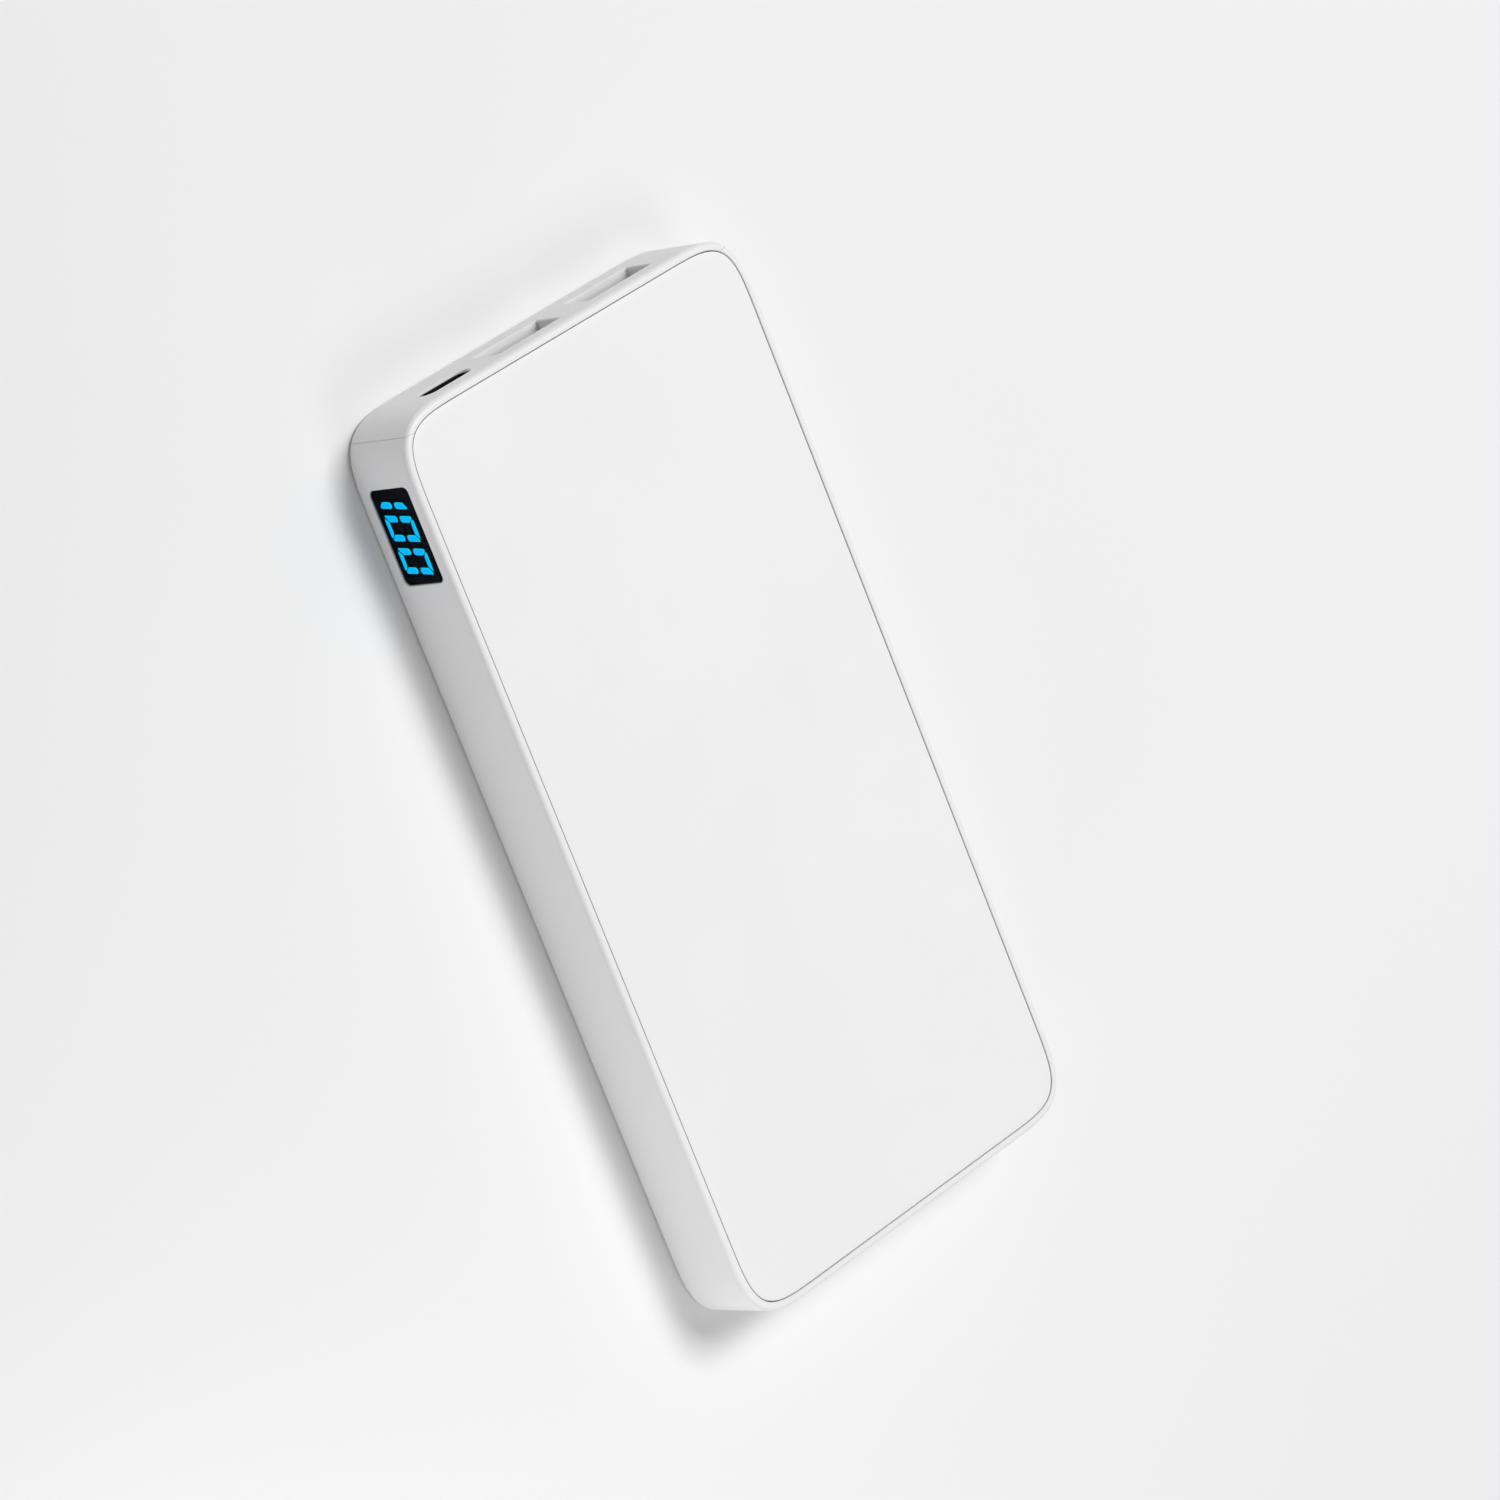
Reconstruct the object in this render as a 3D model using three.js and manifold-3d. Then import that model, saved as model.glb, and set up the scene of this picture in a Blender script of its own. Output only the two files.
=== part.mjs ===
// Slim two-port power bank with a percentage display: housing, electronics, cell and check button.
// Millimetres. The bank lies on its back panel: +Z out of the front panel, +Y to the port end,
// +X to the right as the front is read. The origin is the middle of the back face.

import * as THREE from 'three';
import { mergeVertices } from 'three/addons/utils/BufferGeometryUtils.js';
import Module from 'manifold-3d';

const wasm = await Module();
wasm.setup();

// ---- Driving dimensions -------------------------------------------------------------------

const LENGTH = 143;
const WIDTH = 71;
const THICKNESS = 13;

// The corners are superellipses, drawn along the groove round the panels and offset from there.
const GROOVE_INSET = 1.34;
const GROOVE_WIDTH = 0.3;
const CORNER_EXTENT = 14.8;
const CORNER_EXPONENT = 5;
const CORNER_STEPS = 12;
const EDGE_ROUND = 0.8;

const WALL = GROOVE_INSET - GROOVE_WIDTH / 2;
const PANEL_INSET = GROOVE_INSET + GROOVE_WIDTH / 2;
const PANEL_THICKNESS = 1.2;
const PANEL_EDGE_ROUND = 0.4;
const LEDGE_DEPTH = 1.3;
const LEDGE_THICKNESS = 0.7;
const FIT = 0.1;
const CLEARANCE = 0.3;
const LEDGE_FRONT = THICKNESS - PANEL_THICKNESS - FIT;
const LEDGE_BACK = PANEL_THICKNESS + FIT;

const LOCATING_RIB = [0.5, 0.9];
const LOCATING_RIB_END_Y = 34;

// The end cap meets the frame at the seam, and its side tongues run on inside the frame.
const SEAM_Y = 68.8;
const SEAM_GAP = 0.1;
const LEDGE_END_Y = 66;
const CAP_TONGUE_START_Y = 64.2;
const CAP_TONGUE_THICKNESS = 1;
const CAP_EDGE_STEP = 1.2;

// Port openings in the end cap.
const USB_A_CENTRES = [-3.87, 15.25];
const USB_A_OPENING = [13.2, 5.65];
const USB_A_CORNER = 0.35;
const USB_A_MIDDLE_Z = 6.78;
const USB_C_CENTRE = -19.85;
const USB_C_OPENING = [9.45, 3.55];
const USB_C_MIDDLE_Z = 7.88;

// USB-A receptacle: 12.5 x 5.1 mm mouth in a folded shell, with a plastic tongue and four contacts.
const USB_A_SHELL = [13.1, 5.65, 14];
const USB_A_SHELL_CORNER = 0.7;
const USB_A_SHELL_Z = USB_A_MIDDLE_Z - 0.03;
const USB_A_MOUTH_Y = LENGTH / 2 - 2.3;
const USB_A_METAL = 0.3;
const USB_A_TONGUE = [11.1, 1.84];
const USB_A_TONGUE_TIP_Y = USB_A_MOUTH_Y - 2.3;
const USB_A_TONGUE_Z = USB_A_MIDDLE_Z - 0.95;
const USB_A_BLOCK_DEPTH = 3.6;
const USB_A_BLOCK_CORNER = 0.4;
const USB_A_CONTACT_X = [-3.5, -1, 1, 3.5];
const USB_A_CONTACT = [1, 7, 0.25];
const USB_A_CONTACT_GAP = 0.05;
const USB_A_CONTACT_SETBACK = 0.6;
const SHELL_REAR_GAP = 0.2;
const SHELL_INNER_GAP = 0.1;
const NOSE_POCKET = [13.8, 6.3];

// USB-C receptacle.
const USB_C_SHELL = [8.94, 3.16, 7.4];
const USB_C_MOUTH_Y = LENGTH / 2 - 0.3;
const USB_C_METAL = 0.3;
const USB_C_TONGUE = [6.7, 0.7];
const USB_C_TONGUE_RECESS = 1;
const USB_C_COLLAR = [6.7, 1.9, 1.3];
const USB_C_BLOCK_DEPTH = 1.6;

// Display: a half digit and two full digits close behind a thin smoked lens in the left wall.
const WINDOW = [14.7, 8.5];
const WINDOW_CENTRE = [54.87, 6.7];
const WINDOW_ROUND = 1;
const LENS_RECESS = 0.05;
const LENS_THICKNESS = 0.3;
const LENS_EDGE_GAP = 0.1;
const MODULE = [14, 7.8, 1.2];
const MODULE_GAP = 0.05;
const MODULE_WALL = 0.5;
const MODULE_CORNER = 0.3;
const MODULE_FACE_THICKNESS = 0.6;
const RESIN_SIDE_GAP = 0.1;
const RESIN_BAR_GAP = 0.04;
const RESIN_BAR_RECESS = 0.02;
const DISPLAY_BOARD = [15, 7.8, 0.8];
const PIN_COUNT = 5;
const PIN_SPACING = 2.54;
const PIN_WIDTH = 0.6;
const PIN_THICKNESS = 0.5;
const PIN_START_Z = 8.2;
const DIGIT_PITCH = 5.03;
const FIRST_FULL_DIGIT_Y = 56.08;
const DIGIT_MIDDLE_Z = 6.44;
const DIGIT_SLANT = 0.096;
const STROKE = 0.97;
const STROKE_SPACING = 2.94;
const DIGIT_HEIGHT = 5.94;
const LEVEL_STROKE = 0.68;

// Check button in the right wall, opposite the display.
const BUTTON = [9, 3];
const BUTTON_CENTRE = [54.87, 6.9];
const BUTTON_RECESS = 0.02;
const BUTTON_FLANGE = [11.4, 4.6];
const BUTTON_FLANGE_THICKNESS = 1;
const BUTTON_FLANGE_CORNER = 1;
const PLUNGER = [1.6, 1.2];
const PLUNGER_Z = 7.7;
const PLUNGER_GAP = 0.15;
const PLUNGER_REACH = 0.8;
const PLUNGER_ROOT = 0.6;
const PLUNGER_WELL_DEPTH = 1.3;
const SWITCH_BODY = [3.4, 6, 3.5];

// Main board, with its parts on the side that faces the back panel.
const BOARD_BACK_Z = 9.7;
const BOARD_THICKNESS = 1;
const BOARD_FRONT_Z = BOARD_BACK_Z + BOARD_THICKNESS;
const BOARD_HALF_WIDTH = 32.6;
const BOARD_Y = [42, 68.1];
const SCREW_DIAMETER = 1.6;
const SCREW_HOLE = 2.2;
const SCREW_HOLE_DEPTH = 6;
const SCREW_HEAD = [3, 0.85];
const SCREW_LENGTH = 5.5;
const POST_DIAMETER = 4.2;
const WEB_THICKNESS = 1.2;
const SCREW_SLOT = [1.9, 0.45, 0.45];
const SCREW_SEAT_GAP = 0.05;
const NOTCH_MARGIN = 1;
const CAPACITOR_BASE = [5.3, 5.3, 0.8];
const CAPACITOR_CAN = [5, 5.4];
const INDUCTOR = [10, 10, 4];
const INDUCTOR_CENTRE = [4.8, 48];
const INDUCTOR_CROWN = [8.4, 0.6];
const CONTROLLER_CHIP = [6, 6, 0.9];
const CHARGING_CHIP = [5, 5, 0.9];
const TRANSISTOR = [5, 5.6, 1];
const CAP_POSTS = [[-28.8, 65.9], [28.8, 65.9]];
const FRAME_POSTS = [[-30.4, 43.8], [30.4, 43.8]];

// Pouch cell.
const CELL_HALF_WIDTH = 31.5;
const CELL_Y = [-67, 36.6];
const CELL_Z = [1.9, 10.7];
const CELL_ROUND = 1.6;
const TERRACE_END_Y = 40.6;
const TERRACE_THICKNESS = 0.6;
const TERRACE_SIDE_STEP = 1;
const TERRACE_TAPE = [48, 3.4];
const TERRACE_TAPE_GAP = 0.15;
const PROTECTION_BOARD = [38, 3.2, 0.8];
const PROTECTION_BOARD_CENTRE_Y = 38.8;
const PROTECTION_BOARD_LIFT = 1;
const PROTECTION_PART = [3, 1.8, 0.7];
const PROTECTION_PART_X = [-5.5, 0, 5.5];
const TAB_CENTRES = [-12, 12];
const TAB_WIDTH = 5;
const TAB_THICKNESS = 0.25;
const TAB_DROP = 0.2;
const TAB_REACH = 0.8;
const LEAD_CENTRES = [-17.2, 17.2];
const LEAD_DIAMETER = 1.2;
const CELL_TAPE_CENTRES = [-18, 18];
const CELL_TAPE_WIDTH = 16;
const CELL_TAPE_Y = [-58, 28];
const CELL_FOAM_HALF_WIDTH = 24;
const CELL_FOAM_Y = [-54, 24];

// ---- Materials ----------------------------------------------------------------------------

function finish(color, roughness, metalness = 0) {
  return () => new THREE.MeshStandardMaterial({ color, roughness, metalness });
}

const whitePlastic = finish(0xf0f0f1, 0.5);
const smokedPlastic = finish(0x07080f, 0.12);
const blackPlastic = finish(0x17181a, 0.6);
const litResin = finish(0x18b6ff, 0.4);
const boardGreen = finish(0x155a3a, 0.5);
const steel = finish(0xc9cbce, 0.3, 1);
const goldPlate = finish(0xd9b45a, 0.3, 1);
const chipResin = finish(0x202124, 0.55);
const ferrite = finish(0x3a3b3d, 0.7);
const aluminium = finish(0xd6d8da, 0.35, 1);
const pouchFoil = finish(0xc3c7cb, 0.35, 0.9);
const nickel = finish(0xb9b6ad, 0.3, 1);
const redSleeve = finish(0xc0201c, 0.5);
const blackSleeve = finish(0x16161a, 0.5);
const amberTape = finish(0xc98a22, 0.35);
const adhesive = finish(0xe8e4d8, 0.8);
const foam = finish(0x35363a, 0.95);

// ---- Solids -------------------------------------------------------------------------------

function solid(geometry) {
  const bare = geometry.clone();
  bare.deleteAttribute('normal');
  bare.deleteAttribute('uv');
  const merged = mergeVertices(bare, 1e-4);
  return new wasm.Manifold(new wasm.Mesh({
    numProp: 3,
    vertProperties: new Float32Array(merged.attributes.position.array),
    triVerts: new Uint32Array(merged.index.array),
  }));
}

function surface(manifold) {
  const { vertProperties, triVerts } = manifold.getMesh();
  const geometry = new THREE.BufferGeometry();
  geometry.setAttribute('position', new THREE.BufferAttribute(vertProperties, 3));
  geometry.setIndex(new THREE.BufferAttribute(triVerts, 1));
  const faceted = geometry.toNonIndexed();
  faceted.computeVertexNormals();
  return faceted;
}

const powerBank = new THREE.Group();

function place(name, manifold, material) {
  const mesh = new THREE.Mesh(surface(manifold), material());
  mesh.name = name;
  powerBank.add(mesh);
}

function box([x0, x1], [y0, y1], [z0, z1]) {
  const geometry = new THREE.BoxGeometry(x1 - x0, y1 - y0, z1 - z0);
  geometry.translate((x0 + x1) / 2, (y0 + y1) / 2, (z0 + z1) / 2);
  return solid(geometry);
}

function around(centre, size) {
  return [centre - size / 2, centre + size / 2];
}

function post([x, y], diameter, [z0, z1], sides = 20) {
  const geometry = new THREE.CylinderGeometry(diameter / 2, diameter / 2, z1 - z0, sides);
  geometry.rotateX(Math.PI / 2);
  geometry.translate(x, y, (z0 + z1) / 2);
  return solid(geometry);
}

// A plan outline of the whole bank, `inset` inside the outer wall.
function outline(inset) {
  const offset = GROOVE_INSET - inset;
  const centreX = WIDTH / 2 - GROOVE_INSET - CORNER_EXTENT;
  const centreY = LENGTH / 2 - GROOVE_INSET - CORNER_EXTENT;
  const quarter = [];
  for (let step = 0; step <= CORNER_STEPS; step++) {
    const turn = Math.PI / 4 * (1 - Math.cos(Math.PI * step / CORNER_STEPS));
    const along = Math.max(Math.cos(turn), 0) ** (1 / (CORNER_EXPONENT - 1));
    const across = Math.sin(turn) ** (1 / (CORNER_EXPONENT - 1));
    const total = along ** CORNER_EXPONENT + across ** CORNER_EXPONENT;
    const size = CORNER_EXTENT * total ** (-1 / CORNER_EXPONENT);
    const x = centreX + size * along + offset * Math.cos(turn);
    const y = centreY + size * across + offset * Math.sin(turn);
    quarter.push([x, y]);
  }
  const mirrored = [...quarter].reverse();
  const points = [
    ...quarter,
    ...mirrored.map(([x, y]) => [-x, y]),
    ...quarter.map(([x, y]) => [-x, -y]),
    ...mirrored.map(([x, y]) => [x, -y]),
  ];
  return new THREE.Shape(points.map(([x, y]) => new THREE.Vector2(x, y)));
}

// A plate of that outline from z0 to z1, with both rims rounded by `round`.
function slab(inset, [z0, z1], round = 0) {
  const geometry = new THREE.ExtrudeGeometry(outline(inset), {
    depth: z1 - z0 - 2 * round,
    bevelEnabled: round > 0,
    bevelThickness: round,
    bevelSize: round,
    bevelOffset: -round,
    bevelSegments: 3,
  });
  geometry.translate(0, 0, z0 + round);
  return solid(geometry);
}

function roundedShape(width, height, radius) {
  const shape = new THREE.Shape();
  const x = width / 2 - radius;
  const y = height / 2 - radius;
  shape.absarc(x, y, radius, 0, Math.PI / 2);
  shape.absarc(-x, y, radius, Math.PI / 2, Math.PI);
  shape.absarc(-x, -y, radius, Math.PI, 3 * Math.PI / 2);
  shape.absarc(x, -y, radius, 3 * Math.PI / 2, 2 * Math.PI);
  return shape;
}

// A shape drawn in X and Z, centred on (x, z) and running from y0 to y1.
function alongY(shape, [x, z], [y0, y1], curveSegments = 5) {
  const geometry = new THREE.ExtrudeGeometry(shape, { depth: y1 - y0, bevelEnabled: false, curveSegments });
  geometry.applyMatrix4(new THREE.Matrix4().makeBasis(
    new THREE.Vector3(1, 0, 0), new THREE.Vector3(0, 0, 1), new THREE.Vector3(0, -1, 0)));
  geometry.translate(x, y1, z);
  return solid(geometry);
}

// A shape drawn in Y and Z, centred on (y, z) and running from x0 to x1.
function alongX(shape, [y, z], [x0, x1], curveSegments = 5) {
  const geometry = new THREE.ExtrudeGeometry(shape, { depth: x1 - x0, bevelEnabled: false, curveSegments });
  geometry.applyMatrix4(new THREE.Matrix4().makeBasis(
    new THREE.Vector3(0, 1, 0), new THREE.Vector3(0, 0, 1), new THREE.Vector3(1, 0, 0)));
  geometry.translate(x0, y, z);
  return solid(geometry);
}

// ---- Housing ------------------------------------------------------------------------------

const FAR = 100;
const OVERSHOOT = 1;
const THROUGH_WALL = 3;
const JOIN = 0.2;
const FULL_ROUND_MARGIN = 0.01;
const wholeHeight = [-OVERSHOOT, THICKNESS + OVERSHOOT];
const insideFront = slab(WALL, [LEDGE_FRONT, THICKNESS + OVERSHOOT]);
const insideBack = slab(WALL, [-OVERSHOOT, LEDGE_BACK]);
const insideMiddle = slab(WALL, [LEDGE_BACK + LEDGE_THICKNESS, LEDGE_FRONT - LEDGE_THICKNESS]);
const insideLedges = slab(WALL + LEDGE_DEPTH, wholeHeight);

function windowHole() {
  const shape = roundedShape(...WINDOW, WINDOW_ROUND);
  return alongX(shape, WINDOW_CENTRE, [-WIDTH / 2 - OVERSHOOT, -WIDTH / 2 + THROUGH_WALL]);
}

function buttonShape(grow) {
  return roundedShape(BUTTON[0] + grow, BUTTON[1] + grow, (BUTTON[1] + grow) / 2);
}

const screwHoleZ = [BOARD_BACK_Z - SCREW_HOLE_DEPTH, BOARD_FRONT_Z];

function middleFrame() {
  let frame = slab(0, [0, THICKNESS], EDGE_ROUND);
  for (const hollow of [insideFront, insideBack, insideMiddle, insideLedges]) {
    frame = frame.subtract(hollow);
  }
  const ledgeEnd = slab(WALL, [LEDGE_BACK - JOIN, LEDGE_FRONT + JOIN])
    .intersect(box([-FAR, FAR], [LEDGE_END_Y, FAR], wholeHeight));
  frame = frame.subtract(ledgeEnd);
  frame = frame.subtract(box([-FAR, FAR], [SEAM_Y - SEAM_GAP / 2, FAR], wholeHeight));
  frame = frame.subtract(windowHole());
  const buttonHoleX = [WIDTH / 2 - THROUGH_WALL, WIDTH / 2 + OVERSHOOT];
  frame = frame.subtract(alongX(buttonShape(2 * CLEARANCE), BUTTON_CENTRE, buttonHoleX));
  const postHeight = [LEDGE_BACK + FIT, BOARD_BACK_Z - FIT];
  for (const centre of FRAME_POSTS) {
    const side = Math.sign(centre[0]);
    const reach = [centre[0], side * (WIDTH / 2 - WALL / 2)].sort((a, b) => a - b);
    frame = frame.add(post(centre, POST_DIAMETER, postHeight));
    frame = frame.add(box(reach, around(centre[1], WEB_THICKNESS), postHeight));
    frame = frame.subtract(post(centre, SCREW_HOLE, screwHoleZ, 12));
  }
  return frame;
}

function endCap() {
  const capStart = SEAM_Y + SEAM_GAP / 2;
  const inward = [LEDGE_BACK + CAP_EDGE_STEP, LEDGE_FRONT - CAP_EDGE_STEP];
  let cap = slab(0, [0, THICKNESS], EDGE_ROUND)
    .intersect(box([-FAR, FAR], [capStart, FAR], wholeHeight));
  cap = cap.subtract(insideFront).subtract(insideBack);

  const tongueRing = slab(WALL + CLEARANCE, inward)
    .subtract(slab(WALL + CLEARANCE + CAP_TONGUE_THICKNESS, wholeHeight))
    .intersect(box([-FAR, FAR], [CAP_TONGUE_START_Y, capStart + 2 * JOIN], wholeHeight));
  cap = cap.add(tongueRing);

  const postHeight = [LEDGE_BACK + CAP_EDGE_STEP, BOARD_BACK_Z - FIT];
  for (const centre of CAP_POSTS) {
    cap = cap.add(post(centre, POST_DIAMETER, postHeight));
    cap = cap.add(box(around(centre[0], WEB_THICKNESS), [centre[1], capStart + 2 * JOIN], postHeight));
    cap = cap.subtract(post(centre, SCREW_HOLE, screwHoleZ, 12));
  }

  // Behind each USB-A opening a wider pocket takes the nose of the metal shell.
  const through = [CAP_TONGUE_START_Y - OVERSHOOT, LENGTH / 2 + OVERSHOOT];
  const pocketY = [CAP_TONGUE_START_Y - OVERSHOOT, USB_A_MOUTH_Y + CLEARANCE];
  for (const centre of USB_A_CENTRES) {
    const middle = [centre, USB_A_MIDDLE_Z];
    cap = cap.subtract(alongY(roundedShape(...USB_A_OPENING, USB_A_CORNER), middle, through));
    cap = cap.subtract(alongY(roundedShape(...NOSE_POCKET, 2 * USB_A_CORNER), middle, pocketY));
  }
  const slot = roundedShape(...USB_C_OPENING, USB_C_OPENING[1] / 2 - FULL_ROUND_MARGIN);
  return cap.subtract(alongY(slot, [USB_C_CENTRE, USB_C_MIDDLE_Z], through));
}

// The panels have a locating rib that drops inside the frame's ledge on three sides.
function panel([outerZ, innerZ]) {
  const [low, high] = [outerZ, innerZ].sort((a, b) => a - b);
  const plate = slab(PANEL_INSET, [low, high], PANEL_EDGE_ROUND);
  const inward = Math.sign(innerZ - outerZ);
  const [ribThickness, ribHeight] = LOCATING_RIB;
  const ribInset = WALL + LEDGE_DEPTH + CLEARANCE;
  const ribZ = [innerZ - JOIN * inward, innerZ + ribHeight * inward].sort((a, b) => a - b);
  const rib = slab(ribInset, ribZ)
    .subtract(slab(ribInset + ribThickness, wholeHeight))
    .intersect(box([-FAR, FAR], [-FAR, LOCATING_RIB_END_Y], wholeHeight));
  return plate.add(rib);
}

place('middle_frame', middleFrame(), whitePlastic);
place('end_cap', endCap(), whitePlastic);
place('front_panel', panel([THICKNESS, THICKNESS - PANEL_THICKNESS]), whitePlastic);
place('back_panel', panel([0, PANEL_THICKNESS]), whitePlastic);

// ---- Display ------------------------------------------------------------------------------

const LENS_X = [-WIDTH / 2 + LENS_RECESS, -WIDTH / 2 + LENS_RECESS + LENS_THICKNESS];
const MODULE_X = [LENS_X[1] + MODULE_GAP, LENS_X[1] + MODULE_GAP + MODULE[2]];
const DISPLAY_BOARD_X = [MODULE_X[1] + FIT, MODULE_X[1] + FIT + DISPLAY_BOARD[2]];

function displayLens() {
  const [length, height] = WINDOW.map((size) => size - 2 * LENS_EDGE_GAP);
  const plate = roundedShape(length, height, WINDOW_ROUND - LENS_EDGE_GAP);
  return alongX(plate, WINDOW_CENTRE, LENS_X);
}

// One digit's seven bars in reading coordinates: across to the right, up to the digit tops. Every
// bar is drawn for the right or top side, and turned half round for its opposite.
const HALF_HEIGHT = DIGIT_HEIGHT / 2;
const UPRIGHT_X = STROKE_SPACING / 2;
const HALF_STROKE = STROKE / 2;

function turned(corners, halfTurn) {
  return halfTurn ? corners.map(([x, y]) => [-x, -y]) : corners;
}

function upperRightBar(halfTurn) {
  const corners = [
    [-HALF_STROKE, 0.58], [-0.2, 0.32], [0.2, 0.32], [HALF_STROKE, 0.58],
    [HALF_STROKE, 2.7], [0.33, 2.7], [-HALF_STROKE, 2.1],
  ];
  return turned(corners.map(([x, y]) => [UPRIGHT_X + x, y]), halfTurn);
}

function lowerRightBar(halfTurn) {
  const corners = [
    [HALF_STROKE, -0.63], [0.2, -0.37], [-0.2, -0.37], [-HALF_STROKE, -0.63],
    [-HALF_STROKE, -2.08], [0.15, -2.74], [0.3, -2.74], [HALF_STROKE, -2.54],
  ];
  return turned(corners.map(([x, y]) => [UPRIGHT_X + x, y]), halfTurn);
}

function topBar(halfTurn) {
  const under = HALF_HEIGHT - LEVEL_STROKE;
  const corners = [
    [-1.43, HALF_HEIGHT], [1.42, HALF_HEIGHT], [1.3, HALF_HEIGHT - 0.2],
    [0.82, under], [-0.66, under], [-1.38, HALF_HEIGHT - 0.33],
  ];
  return turned(corners, halfTurn);
}

const crossBar = [
  [-1.2, 0], [-0.86, HALF_STROKE], [0.86, HALF_STROKE],
  [1.2, 0], [0.86, -HALF_STROKE], [-0.86, -HALF_STROKE],
];
const halfDigit = [upperRightBar(false), lowerRightBar(false)];
const fullDigit = [
  ...halfDigit, upperRightBar(true), lowerRightBar(true), topBar(false), topBar(true), crossBar,
];

// A bar of a digit centred at digitY, grown by `grow` all round and running from x0 to x1.
function bar(corners, digitY, grow, [x0, x1]) {
  const middleX = corners.reduce((sum, [x]) => sum + x, 0) / corners.length;
  const middleY = corners.reduce((sum, [, y]) => sum + y, 0) / corners.length;
  const points = corners.map(([x, y]) => {
    const wide = x + Math.sign(x - middleX) * grow;
    const high = y + Math.sign(y - middleY) * grow;
    return new THREE.Vector2(-(wide + DIGIT_SLANT * high), high);
  });
  return alongX(new THREE.Shape(points), [digitY, DIGIT_MIDDLE_Z], [x0, x1]);
}

function everyBar(grow, range) {
  const bars = [];
  const digits = [[halfDigit, 1], [fullDigit, 0], [fullDigit, -1]];
  for (const [shapes, places] of digits) {
    const digitY = FIRST_FULL_DIGIT_Y + places * DIGIT_PITCH;
    bars.push(...shapes.map((corners) => bar(corners, digitY, grow, range)));
  }
  return bars;
}

function digitMask() {
  const [length, height] = MODULE;
  const cavity = roundedShape(length - 2 * MODULE_WALL, height - 2 * MODULE_WALL, MODULE_CORNER);
  let mask = alongX(roundedShape(length, height, MODULE_CORNER), WINDOW_CENTRE, MODULE_X);
  mask = mask.subtract(alongX(cavity, WINDOW_CENTRE, [MODULE_X[0] + MODULE_FACE_THICKNESS, 0]));
  for (const slot of everyBar(0, [-WIDTH, 0])) {
    mask = mask.subtract(slot);
  }
  return mask;
}

// Clear resin fills the module from behind, so its bars show in the mask's slots.
function segmentDiffuser() {
  const edge = 2 * (MODULE_WALL + RESIN_SIDE_GAP);
  const plate = roundedShape(MODULE[0] - edge, MODULE[1] - edge, MODULE_CORNER);
  const plateX = [MODULE_X[0] + MODULE_FACE_THICKNESS + MODULE_GAP, MODULE_X[1] - MODULE_GAP];
  let diffuser = alongX(plate, WINDOW_CENTRE, plateX);
  const barX = [MODULE_X[0] + RESIN_BAR_RECESS, plateX[1] - JOIN];
  for (const raised of everyBar(-RESIN_BAR_GAP, barX)) {
    diffuser = diffuser.add(raised);
  }
  return diffuser;
}

function displayBoard() {
  const pinX = [DISPLAY_BOARD_X[1] - JOIN, DISPLAY_BOARD_X[1] + PIN_THICKNESS];
  const pinZ = [PIN_START_Z, BOARD_FRONT_Z - FIT];
  let board = box(DISPLAY_BOARD_X, around(WINDOW_CENTRE[0], DISPLAY_BOARD[0]),
    around(WINDOW_CENTRE[1], DISPLAY_BOARD[1]));
  for (let pin = 0; pin < PIN_COUNT; pin++) {
    const pinY = WINDOW_CENTRE[0] + (pin - (PIN_COUNT - 1) / 2) * PIN_SPACING;
    board = board.add(box(pinX, around(pinY, PIN_WIDTH), pinZ));
  }
  return board;
}

place('display_lens', displayLens(), smokedPlastic);
place('digit_mask', digitMask(), blackPlastic);
place('segment_diffuser', segmentDiffuser(), litResin);
place('display_board', displayBoard(), boardGreen);

// ---- Check button -------------------------------------------------------------------------

const FLANGE_X = WIDTH / 2 - WALL - FIT;
const BUTTON_BACK_X = FLANGE_X - BUTTON_FLANGE_THICKNESS;
const PLUNGER_TIP_X = BUTTON_BACK_X - PLUNGER_GAP;
const SWITCH_FACE_X = PLUNGER_TIP_X - PLUNGER_REACH;

// The flange behind the wall keeps the button in, and its stem reaches the switch.
function powerButton() {
  const face = alongX(buttonShape(0), BUTTON_CENTRE, [BUTTON_BACK_X, WIDTH / 2 - BUTTON_RECESS]);
  const flange = roundedShape(...BUTTON_FLANGE, BUTTON_FLANGE_CORNER);
  return face.add(alongX(flange, BUTTON_CENTRE, [BUTTON_BACK_X, FLANGE_X]));
}

function switchPlunger() {
  const middle = [BUTTON_CENTRE[0], PLUNGER_Z];
  return alongX(roundedShape(...PLUNGER, 0.2), middle, [SWITCH_FACE_X - PLUNGER_ROOT, PLUNGER_TIP_X]);
}

function switchBody() {
  const bodyX = [SWITCH_FACE_X - SWITCH_BODY[0], SWITCH_FACE_X];
  const bodyZ = [BOARD_BACK_Z - FIT - SWITCH_BODY[2], BOARD_BACK_Z - FIT];
  const middle = [BUTTON_CENTRE[0], PLUNGER_Z];
  const wellX = [SWITCH_FACE_X - PLUNGER_WELL_DEPTH, SWITCH_FACE_X + OVERSHOOT];
  const [length, height] = PLUNGER.map((size) => size + 2 * JOIN);
  const well = alongX(roundedShape(length, height, CLEARANCE), middle, wellX);
  return box(bodyX, around(BUTTON_CENTRE[0], SWITCH_BODY[1]), bodyZ).subtract(well);
}

place('power_button', powerButton(), whitePlastic);
place('switch_plunger', switchPlunger(), blackPlastic);
place('switch_body', switchBody(), steel);

// ---- Main board ---------------------------------------------------------------------------

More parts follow.
